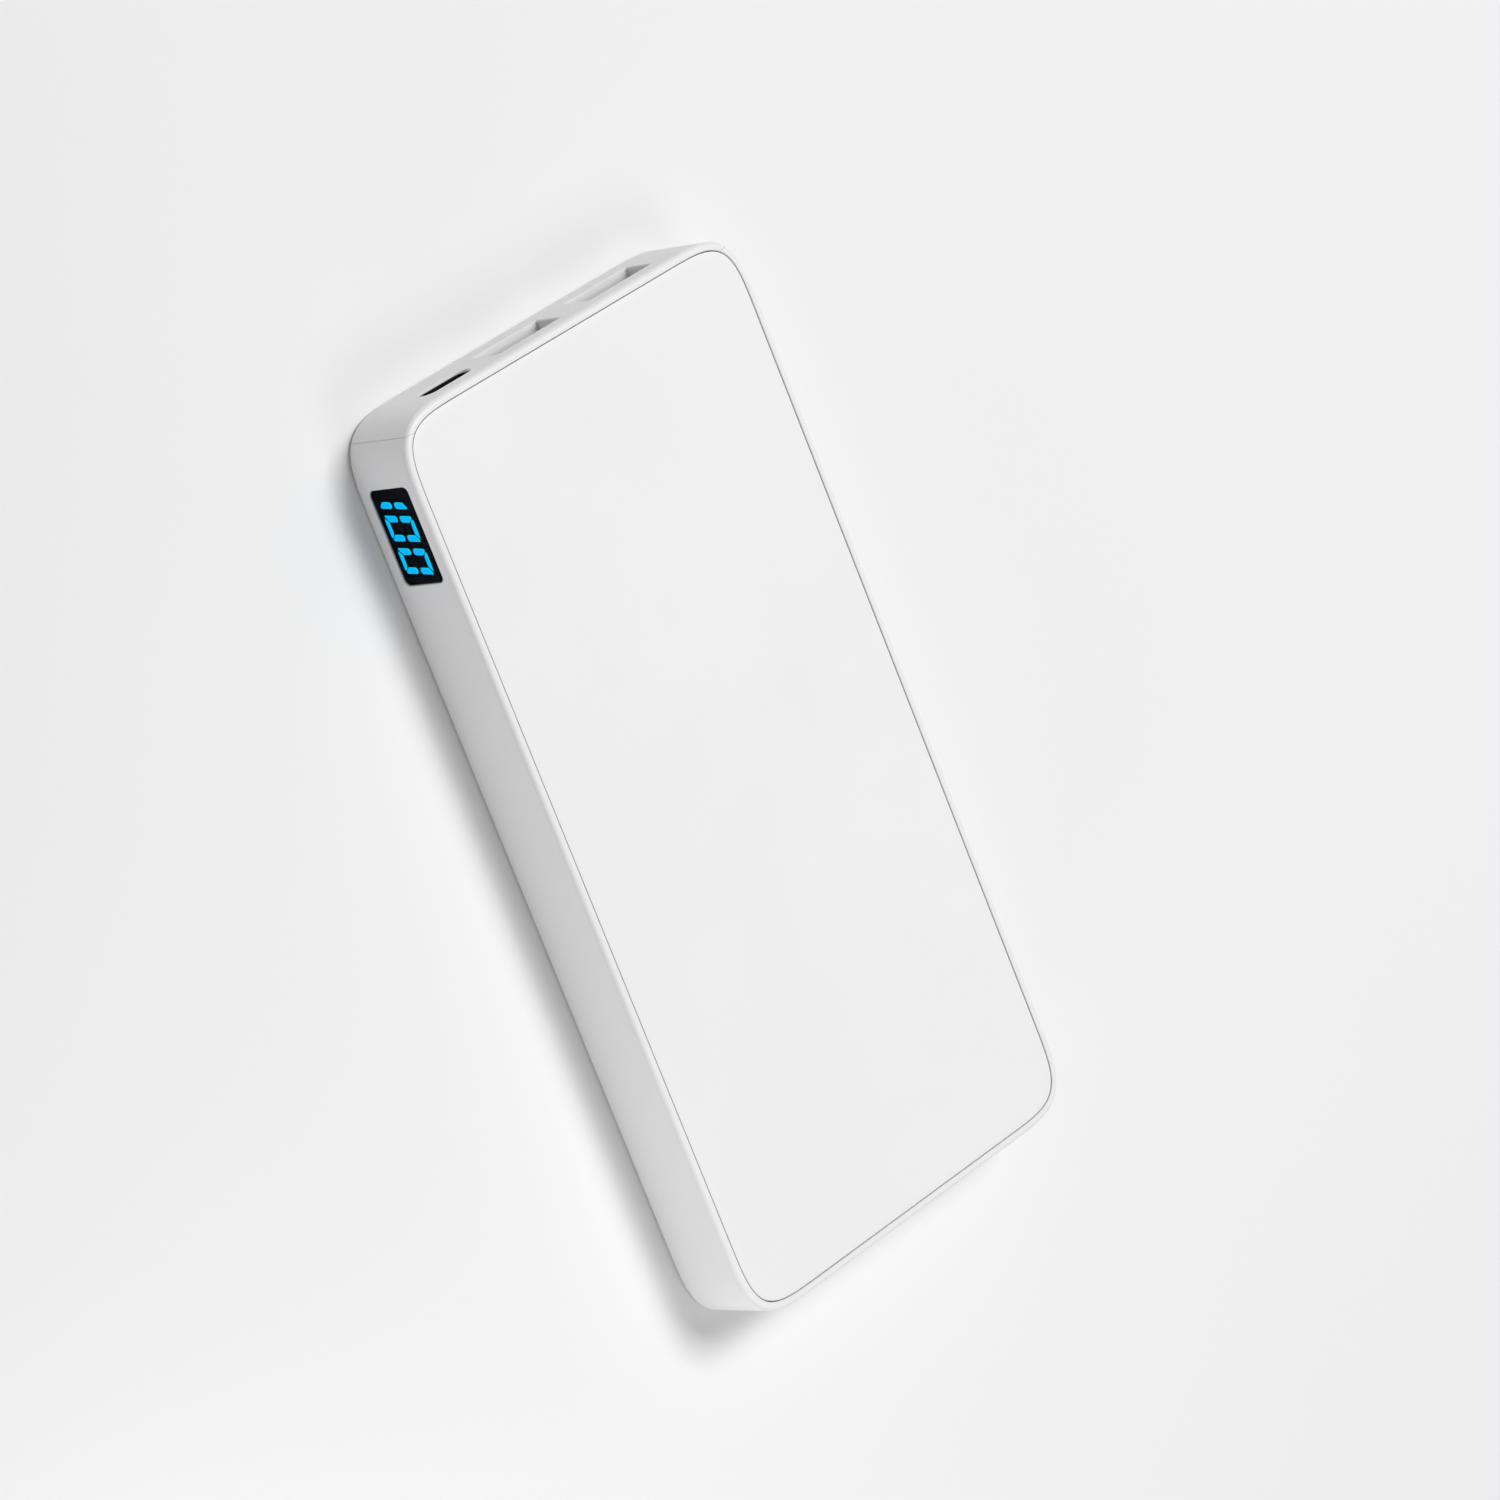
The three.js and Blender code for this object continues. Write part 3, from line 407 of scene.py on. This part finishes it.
def glow_with_painted_rim(name, core, edge):
    """Lit resin: blue over the light source, and a painted cyan edge glow where the surface rounds off at
    the sides, chosen by which way the surface faces.
    """
    shader = Shader(name, Base_Color=(0.0, 0.02, 0.03, 1), Roughness=0.35, Specular_IOR_Level=0.05)
    # Painted edge glow: the normal against -X picks blue on the flat face and cyan on the rounded edges.
    geometry = shader.nodes.new("ShaderNodeNewGeometry")
    facing = shader.nodes.new("ShaderNodeVectorMath")
    facing.operation = "DOT_PRODUCT"
    facing.inputs[1].default_value = (-1, 0, 0)
    shader.links.new(geometry.outputs["Normal"], facing.inputs[0])
    uneven = shader.nodes.new("ShaderNodeMath")
    uneven.operation = "ADD"
    shader.links.new(facing.outputs["Value"], uneven.inputs[0])
    shader.links.new(shader.remap(shader.noise(900, 2), -0.06, 0.06), uneven.inputs[1])
    glow = shader.colours(uneven.outputs["Value"], (0.72, edge), (0.99, core))
    shader.links.remove(shader.surface.inputs["Base Color"].links[0])
    shader.links.new(glow, shader.surface.inputs["Emission Color"])
    shader.surface.inputs["Emission Strength"].default_value = 1.12
    return shader.material


def make_materials():
    """Every material, by name."""
    white = moulded_plastic("white satin plastic", (0.86, 0.86, 0.865), (0.845, 0.845, 0.85), 0.42)
    panel = moulded_plastic("white matt plastic", (0.875, 0.875, 0.88), (0.86, 0.86, 0.865), 0.5, 0.8, 4200)
    button = moulded_plastic("white button plastic", (0.86, 0.86, 0.865), (0.84, 0.84, 0.845), 0.38, 0.6)
    black = moulded_plastic("black moulded plastic", (0.02, 0.02, 0.022), (0.012, 0.012, 0.014), 0.5)
    mask = moulded_plastic("black display mask", (0.003, 0.003, 0.007), (0.002, 0.002, 0.005), 0.6)
    mask.surface.inputs["Specular IOR Level"].default_value = 0.04
    chip = moulded_plastic("chip resin", (0.03, 0.03, 0.032), (0.018, 0.018, 0.02), 0.6, 1.5, 3000)
    ferrite = moulded_plastic("sintered ferrite", (0.075, 0.075, 0.08), (0.04, 0.04, 0.044), 0.7, 2, 2500)

    lens = Shader("smoked lens", Roughness=0.05, IOR=1.05)
    lens.colours(lens.noise(60, 2), (0.3, (0.8, 0.82, 0.86)), (0.7, (0.84, 0.86, 0.9)))
    lens.surface.inputs["Transmission Weight"].default_value = 1.0
    lens.bump((lens.noise(120, 2), 0.02, 0.0002))

    tape = Shader("amber insulating film", IOR=1.5)
    wrinkles = tape.noise(700, 3, stretch=(1, 4, 1))
    tape.colours(wrinkles, (0.3, (0.42, 0.17, 0.02)), (0.7, (0.6, 0.28, 0.05)))
    tape.roughness(tape.remap(wrinkles, 0.15, 0.35))
    tape.bump((wrinkles, 0.3, 0.00005))

    foil = Shader("laminated pouch foil", Metallic=0.85)
    folds = foil.noise(60, 5, 0.6)
    foil.colours(folds, (0.3, (0.5, 0.52, 0.54)), (0.7, (0.62, 0.64, 0.66)))
    foil.roughness(foil.remap(folds, 0.28, 0.42))
    foil.bump((folds, 0.35, 0.0006), (foil.noise(1500, 2), 0.15, 0.00003))

    return {
        "white": white.material,
        "panel": panel.material,
        "button": button.material,
        "black": black.material,
        "mask": mask.material,
        "chip": chip.material,
        "ferrite": ferrite.material,
        "lens": lens.material,
        "tape": tape.material,
        "foil": foil.material,
        # Core blue, then the painted cyan edge glow of the rounded sides.
        "lit": glow_with_painted_rim("lit resin", (0.0, 0.47, 1.0), (0.0, 0.8, 1.0)),
        "unlit": painted("unlit resin", (0.005, 0.005, 0.009), (0.003, 0.003, 0.006), 0.5,
                        Specular_IOR_Level=0.05),
        "board": painted("solder resist", (0.02, 0.16, 0.075), (0.012, 0.11, 0.05), 0.34, 260),
        "plated": painted("plated steel", (0.66, 0.67, 0.69), (0.56, 0.57, 0.59), 0.27, 900, 1.0,
                          stretch=(1, 0.12, 1)),
        # Near-black plating for the USB-C shell; its darkness is partly painted shade for the dim inside of
        # the socket.
        "black plate and socket shade": painted("black plate, painted socket shade", (0.05, 0.05, 0.053), (0.03, 0.03, 0.032), 0.3, 900,
                               1.0),
        "screw": painted("zinc plated steel", (0.55, 0.56, 0.58), (0.42, 0.43, 0.45), 0.33, 1200, 1.0),
        "gold": painted("gold plate", (0.83, 0.57, 0.2), (0.72, 0.47, 0.14), 0.24, 1500, 1.0),
        "nickel": painted("nickel strip", (0.6, 0.58, 0.53), (0.5, 0.48, 0.44), 0.3, 700, 1.0,
                          stretch=(0.2, 1, 1)),
        "can": painted("drawn can", (0.78, 0.79, 0.8), (0.68, 0.69, 0.7), 0.3, 800, 1.0,
                       stretch=(1, 1, 0.1)),
        "red": painted("red wire sleeve", (0.5, 0.02, 0.015), (0.4, 0.012, 0.01), 0.45, 1500),
        "wire black": painted("black wire sleeve", (0.015, 0.015, 0.018), (0.008, 0.008, 0.01), 0.45, 1500),
        "tissue": painted("tissue tape", (0.74, 0.71, 0.62), (0.62, 0.59, 0.5), 0.85, 900, bump=0.5,
                          depth=0.0001),
        "foam": painted("open-cell foam", (0.05, 0.05, 0.052), (0.015, 0.015, 0.017), 0.95, 1800, bump=0.9,
                        depth=0.0002),
    }


MATERIALS = make_materials()


# ---- Housing ------------------------------------------------------------------------------


def frame_profile():
    """The closed (inset, z) section of the wall, from the back rim round the outside to the front."""
    top = THICKNESS
    ledge = WALL + LEDGE_DEPTH
    front_seat = top - PANEL_THICKNESS - LEDGE_GAP
    back_seat = PANEL_THICKNESS + LEDGE_GAP
    points = [(WALL, RIM_CHAMFER), (WALL - RIM_CHAMFER, 0)]
    points += arc(EDGE_ROUND, EDGE_ROUND, EDGE_ROUND, EDGE_ROUND, 270, 180, 10)
    points += arc(EDGE_ROUND, top - EDGE_ROUND, EDGE_ROUND, EDGE_ROUND, 180, 90, 10)
    points += [(WALL - RIM_CHAMFER, top), (WALL, top - RIM_CHAMFER)]
    points += [(WALL, front_seat), (ledge, front_seat)]
    points += [(ledge, front_seat - LEDGE_THICKNESS), (WALL, front_seat - LEDGE_THICKNESS)]
    points += [(WALL, back_seat + LEDGE_THICKNESS), (ledge, back_seat + LEDGE_THICKNESS)]
    points += [(ledge, back_seat), (WALL, back_seat)]
    return points


def make_frame():
    """The white band round the sides and the far end, open where the end cap goes."""
    obj = new_object("frame_shell", sweep_profile(frame_profile()))
    keep_side(obj, (0, SEAM_Y - SEAM_GAP / 2, 0), (0, 1, 0))

    outside = -HALF_WIDTH
    window = rounded_outline(*WINDOW_SIZE, WINDOW_ROUND, 10)
    flare = grown(WINDOW_SIZE, LIP_CHAMFER)
    depths = [(outside - CUT_OVERSHOOT, flare), (outside, flare)]
    depths += [(outside + LIP_CHAMFER, (1, 1)), (outside + CUT_DEPTH, (1, 1))]
    cut(obj, prism_along_x(window, WINDOW_CENTRE, depths))

    outside = HALF_WIDTH
    hole_size = (BUTTON_SIZE[0] + 2 * BUTTON_GAP, BUTTON_SIZE[1] + 2 * BUTTON_GAP)
    hole = rounded_outline(*hole_size, hole_size[1] / 2 - FULL_ROUND_MARGIN, 12)
    flare = grown(hole_size, LIP_CHAMFER)
    depths = [(outside - CUT_DEPTH, (1, 1)), (outside - LIP_CHAMFER, (1, 1))]
    depths += [(outside, flare), (outside + CUT_OVERSHOOT, flare)]
    cut(obj, prism_along_x(hole, BUTTON_CENTRE, depths))
    smooth(obj)
    return finish_piece(obj, MATERIALS["white"], nodes=["middle_frame"])


def make_end_cap():
    """The port end: the same wall, closed to a thick face with the socket openings through it."""
    obj = new_object("end_cap_shell", sweep_profile(frame_profile()))
    start = SEAM_Y + SEAM_GAP / 2
    keep_side(obj, (0, start, 0), (0, -1, 0))

    # Thicken the port face between the two panel seats.
    seat = PANEL_THICKNESS + LEDGE_GAP
    inside = [(x, max(y, start)) for x, y in outline(WALL / 2) if y > start - CAP_FACE_DEPTH]
    inside = [(x, y) for x, y in inside if y > start]
    first, last = inside[0], inside[-1]
    inside = [(first[0], start)] + inside + [(last[0], start)]
    rings = [[(x, y, z) for x, y in inside] for z in (seat, THICKNESS - seat)]
    cut(obj, loft(rings), "UNION")

    outside = HALF_LENGTH
    for x, z, width, height, radius in [*USB_A_OPENINGS, USB_C_OPENING]:
        shape = rounded_outline(width, height, radius, 10)
        flare = grown((width, height), LIP_CHAMFER)
        depths = [(SEAM_Y - CUT_OVERSHOOT, (1, 1)), (outside - LIP_CHAMFER, (1, 1))]
        depths += [(outside, flare), (outside + CUT_OVERSHOOT, flare)]
        cut(obj, prism_along_y(shape, (x, z), depths))
    smooth(obj)
    return finish_piece(obj, MATERIALS["white"], nodes=["end_cap"])


def make_panel(name, node, outer_z, inward):
    """A flat panel whose outer edge rolls down softly into the groove."""
    def at(inset, depth):
        return [(x, y, outer_z + inward * depth) for x, y in outline(inset)]

    rings = []
    for step in range(PANEL_CROWN_STEPS + 1):
        along = step / PANEL_CROWN_STEPS
        rings.append(at(PANEL_INSET + PANEL_CROWN_WIDTH * (1 - along), PANEL_CROWN_DROP * along**2))
    rings.append(at(PANEL_INSET, PANEL_THICKNESS))
    obj = new_object(name, loft(rings))
    smooth(obj, 50)
    return finish_piece(obj, MATERIALS["panel"], nodes=[node])


make_frame()
make_end_cap()
make_panel("front_skin", "front_panel", THICKNESS, -1)
make_panel("back_skin", "back_panel", 0, 1)


# ---- Display ------------------------------------------------------------------------------

LENS_FACE_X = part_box("display_lens")[0].x
LENS_THICKNESS = 0.1 * MM
LENS_EDGE_GAP = 0.04 * MM
LENS_EDGE_ROUND = 0.06 * MM
LIT_FACE_SETBACK = 0.02 * MM
LIT_FACE_X = LENS_FACE_X + LENS_THICKNESS + LIT_FACE_SETBACK
MASK_SETBACK = 0.12 * MM
MASK_FACE_X = LIT_FACE_X + MASK_SETBACK
MASK_DEPTH = 1.2 * MM
MASK_EDGE_GAP = 0.08 * MM
BAR_DEPTH = 0.5 * MM
BAR_ROUND = 0.12 * MM

HALF_STROKE = STROKE / 2
HALF_HEIGHT = DIGIT_HEIGHT / 2
UNDER_TOP_BAR = HALF_HEIGHT - LEVEL_STROKE

# Bars in reading coordinates, across to the right and up, each for its own side of the digit.
UPPER_RIGHT = [(-HALF_STROKE, 0.58 * MM), (-0.2 * MM, 0.32 * MM), (0.2 * MM, 0.32 * MM),
               (HALF_STROKE, 0.58 * MM), (HALF_STROKE, 2.7 * MM), (0.33 * MM, 2.7 * MM),
               (-HALF_STROKE, 2.1 * MM)]
LOWER_RIGHT = [(HALF_STROKE, -0.63 * MM), (0.2 * MM, -0.37 * MM), (-0.2 * MM, -0.37 * MM),
               (-HALF_STROKE, -0.63 * MM), (-HALF_STROKE, -2.08 * MM), (0.15 * MM, -2.74 * MM),
               (0.3 * MM, -2.74 * MM), (HALF_STROKE, -2.54 * MM)]
TOP = [(-1.43 * MM, HALF_HEIGHT), (1.42 * MM, HALF_HEIGHT), (1.3 * MM, HALF_HEIGHT - 0.2 * MM),
       (0.82 * MM, UNDER_TOP_BAR), (-0.66 * MM, UNDER_TOP_BAR), (-1.38 * MM, HALF_HEIGHT - 0.33 * MM)]
CROSS = [(-1.2 * MM, 0), (-0.86 * MM, HALF_STROKE), (0.86 * MM, HALF_STROKE),
         (1.2 * MM, 0), (0.86 * MM, -HALF_STROKE), (-0.86 * MM, -HALF_STROKE)]


def on_the_right(corners):
    return [(x + STROKE_SPACING / 2, y) for x, y in corners]


def half_turn(corners):
    return [(-x, -y) for x, y in corners]


HALF_DIGIT = [on_the_right(UPPER_RIGHT), on_the_right(LOWER_RIGHT)]
ZERO = [*HALF_DIGIT, *map(half_turn, HALF_DIGIT), TOP, half_turn(TOP)]


def bar_rings(corners, digit_y, x_values):
    """A bar's outline in the row frame at each x. Reading runs towards -Y and the tops to +Z."""
    rings = []
    for x in x_values:
        rings.append([(x, digit_y - (u + DIGIT_SLANT * v), DIGIT_MIDDLE_Z + v) for u, v in corners])
    return rings


def make_bars(name, bars, material, nodes=()):
    """All bars of one kind as one piece, each a separate block of resin."""
    data = bmesh.new()
    for corners, digit_y in bars:
        part = loft(bar_rings(corners, digit_y, (LIT_FACE_X, LIT_FACE_X + BAR_DEPTH)))
        block = bpy.data.meshes.new("block")
        part.to_mesh(block)
        part.free()
        data.from_mesh(block)
        bpy.data.meshes.remove(block)
    obj = new_object(name, data)
    bevel = obj.modifiers.new("soft corners", "BEVEL")
    bevel.width = BAR_ROUND
    bevel.segments = 3
    for face in obj.data.polygons:
        face.use_smooth = True
    return finish_piece(obj, material, nodes=nodes)


def window_outline(gap):
    """The window's outline, `gap` smaller all round."""
    return rounded_outline(WINDOW_SIZE[0] - 2 * gap, WINDOW_SIZE[1] - 2 * gap, WINDOW_ROUND - gap, 10)


def make_display():
    """Smoked lens over a black mask with lit and unlit bars of resin."""
    plate = window_outline(LENS_EDGE_GAP)
    inner = grown(WINDOW_SIZE, -LENS_EDGE_ROUND)
    depths = [(LENS_FACE_X, inner), (LENS_FACE_X + LENS_EDGE_ROUND, (1, 1))]
    depths += [(LENS_FACE_X + LENS_THICKNESS, (1, 1))]
    lens = new_object("lens_plate", prism_along_x(plate, WINDOW_CENTRE, depths))
    smooth(lens, 50)
    finish_piece(lens, MATERIALS["lens"], nodes=["display_lens"])

    face = window_outline(MASK_EDGE_GAP)
    depths = [(MASK_FACE_X, (1, 1)), (MASK_FACE_X + MASK_DEPTH, (1, 1))]
    mask = new_object("mask_face", prism_along_x(face, WINDOW_CENTRE, depths))
    finish_piece(mask, MATERIALS["mask"], nodes=["digit_mask"])

    second_y = FIRST_FULL_DIGIT_Y - DIGIT_PITCH
    lit = [(bar, FIRST_FULL_DIGIT_Y + DIGIT_PITCH) for bar in HALF_DIGIT]
    lit += [(bar, FIRST_FULL_DIGIT_Y) for bar in ZERO]
    lit += [(bar, second_y) for bar in ZERO]
    make_bars("lit_bars", lit, MATERIALS["lit"], nodes=["segment_diffuser"])
    unlit = [(CROSS, FIRST_FULL_DIGIT_Y), (CROSS, second_y)]
    make_bars("unlit_bars", unlit, MATERIALS["unlit"])


make_display()


# ---- Button -------------------------------------------------------------------------------


def make_button():
    """A flush pill with a soft crown, its flange behind the wall."""
    low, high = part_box("power_button")
    outside = high.x
    shape = rounded_outline(*BUTTON_SIZE, BUTTON_SIZE[1] / 2 - FULL_ROUND_MARGIN, 16)
    rings = [(low.x, (1, 1))]
    for u, v in arc(0, 0, BUTTON_CROWN_WIDTH, BUTTON_CROWN_HEIGHT, 0, 90, 8):
        shrink = grown(BUTTON_SIZE, u - BUTTON_CROWN_WIDTH)
        rings.append((outside - BUTTON_CROWN_HEIGHT + v, shrink))
    obj = new_object("button_cap", prism_along_x(shape, BUTTON_CENTRE, rings))
    flange_x = HALF_WIDTH - BUTTON_WALL - BUTTON_FLANGE_GAP
    flange_size = [size + extra for size, extra in zip(BUTTON_SIZE, BUTTON_FLANGE_EXTRA)]
    flange = rounded_outline(*flange_size, BUTTON_FLANGE_ROUND)
    cut(obj, prism_along_x(flange, BUTTON_CENTRE, [(low.x, (1, 1)), (flange_x, (1, 1))]), "UNION")
    smooth(obj)
    finish_piece(obj, MATERIALS["button"], BUTTON_BODY, ["power_button"])


make_button()


# ---- USB-C contacts -----------------------------------------------------------------------


def make_usb_c_contacts():
    """Twelve gold strips on each face of the USB-C tongue, let slightly into it."""
    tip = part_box("usb_c_tongue")[1].y - USB_C_CONTACT_SETBACK
    centre_x, centre_z = USB_C_OPENING[:2]
    first_x = centre_x - (USB_C_CONTACT_COUNT - 1) / 2 * USB_C_CONTACT_PITCH
    thickness = USB_C_CONTACT_PROUD + USB_C_CONTACT_SUNK
    offset = USB_C_TONGUE_HALF + (USB_C_CONTACT_PROUD - USB_C_CONTACT_SUNK) / 2
    data = bmesh.new()
    for index in range(USB_C_CONTACT_COUNT):
        for side in (-1, 1):
            x = first_x + index * USB_C_CONTACT_PITCH
            middle = (x, tip - USB_C_CONTACT_LENGTH / 2, centre_z + side * offset)
            size = (USB_C_CONTACT_WIDTH, USB_C_CONTACT_LENGTH, thickness, 1)
            place = Matrix.Translation(middle) @ Matrix.Diagonal(size)
            bmesh.ops.create_cube(data, size=1, matrix=place)
    finish_piece(new_object("usb_c_contacts", data), MATERIALS["gold"])


make_usb_c_contacts()


# ---- Carried-over nodes -------------------------------------------------------------------

NODE_MATERIALS = {
    "display_board": "board", "main_board": "board", "protection_board": "board",
    "switch_plunger": "black", "switch_body": "plated",
    "board_screw": "screw", "power_inductor": "ferrite",
    "controller_chip": "chip", "charging_chip": "chip", "switching_transistor": "chip",
    "capacitor": "can", "usb_a_shell": "plated", "usb_a_tongue": "black", "usb_a_contact": "gold",
    # The USB-C shell's near-black plate is partly painted shade for the inside of the socket.
    "usb_c_shell": "black plate and socket shade", "usb_c_tongue": "black",
    "battery_cell": "foil", "terrace_tape": "tape", "positive_tab": "nickel", "negative_tab": "nickel",
    "positive_lead": "red", "negative_lead": "wire black",
    "cell_tape": "tissue", "cell_foam": "foam",
}


def dress_nodes():
    """Every CAD node that still shows gets its material and small rounded edges."""
    for name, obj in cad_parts.items():
        for start, material in NODE_MATERIALS.items():
            if name.startswith(start):
                obj.data.materials.clear()
                obj.data.materials.append(MATERIALS[material])
                bevel = obj.modifiers.new("broken edges", "BEVEL")
                bevel.width = NODE_BEVEL
                bevel.segments = 2
                bevel.limit_method = "ANGLE"
                bevel.angle_limit = math.radians(NODE_BEVEL_ANGLE)


dress_nodes()


# ---- Stage --------------------------------------------------------------------------------


FLOOR_SIZE = 6
WORLD_COLOUR = (0.95, 0.95, 0.955, 1)
WORLD_STRENGTH = 0.24

# Area lights, as name, place, aim, size and power.
LIGHTS = [
    ("key", (0.36, 0.36, 1.15), (0, 0, 0), (0.5, 0.5), 10.8),
    ("fill", (0, -0.45, 0.7), (0, 0, 0), (0.4, 0.4), 1.2),
    ("side", (-0.19, -0.17, 0.04), (-0.03, -0.07, 0), (0.14, 0.05), 0.13),
]


def make_floor():
    """A pale paper floor, far larger than the view."""
    data = bmesh.new()
    bmesh.ops.create_grid(data, x_segments=1, y_segments=1, size=FLOOR_SIZE)
    floor = new_object("floor", data)
    shader = Shader("pale paper", Roughness=0.85)
    shader.colours(shader.noise(3, 3), (0.3, (0.86, 0.86, 0.865)), (0.7, (0.88, 0.88, 0.885)))
    shader.bump((shader.noise(900, 3), 0.05, 0.0002))
    floor.data.materials.append(shader.material)


def add_area_light(name, place, aim, size, power):
    """A rectangular soft light at place, turned towards aim."""
    light = bpy.data.lights.new(name, "AREA")
    light.shape = "RECTANGLE"
    light.size, light.size_y = size
    light.energy = power
    obj = bpy.data.objects.new(name, light)
    obj.location = place
    obj.rotation_mode = "QUATERNION"
    obj.rotation_quaternion = (Vector(aim) - Vector(place)).to_track_quat("-Z", "Y")
    obj.visible_camera = False
    bpy.context.scene.collection.objects.link(obj)


def make_lights():
    world = bpy.data.worlds.new("studio")
    world.use_nodes = True
    background = world.node_tree.nodes["Background"]
    background.inputs["Color"].default_value = WORLD_COLOUR
    background.inputs["Strength"].default_value = WORLD_STRENGTH
    bpy.context.scene.world = world
    for light in LIGHTS:
        add_area_light(*light)


def make_camera():
    """The photograph's view: from the left and above, turned so that the port end is up."""
    a, e, roll = CAMERA_AZIMUTH, CAMERA_ELEVATION, CAMERA_ROLL
    back = Vector((math.sin(a) * math.cos(e), -math.cos(a) * math.cos(e), math.sin(e)))
    level = Vector((math.cos(a), math.sin(a), 0))
    above = back.cross(level)
    right = level * math.cos(roll) + above * math.sin(roll)
    up = above * math.cos(roll) - level * math.sin(roll)
    data = bpy.data.cameras.new("camera")
    data.sensor_width = CAMERA_SENSOR
    data.lens = CAMERA_LENS
    data.clip_start, data.clip_end = 0.01, 50
    camera = bpy.data.objects.new("camera", data)
    turn = Matrix((right, up, back)).transposed()
    camera.matrix_world = Matrix.Translation(CAMERA_AIM + back * CAMERA_DISTANCE) @ turn.to_4x4()
    bpy.context.scene.collection.objects.link(camera)
    bpy.context.scene.camera = camera


make_floor()
make_lights()
make_camera()
bpy.context.scene.view_settings.view_transform = "Standard"
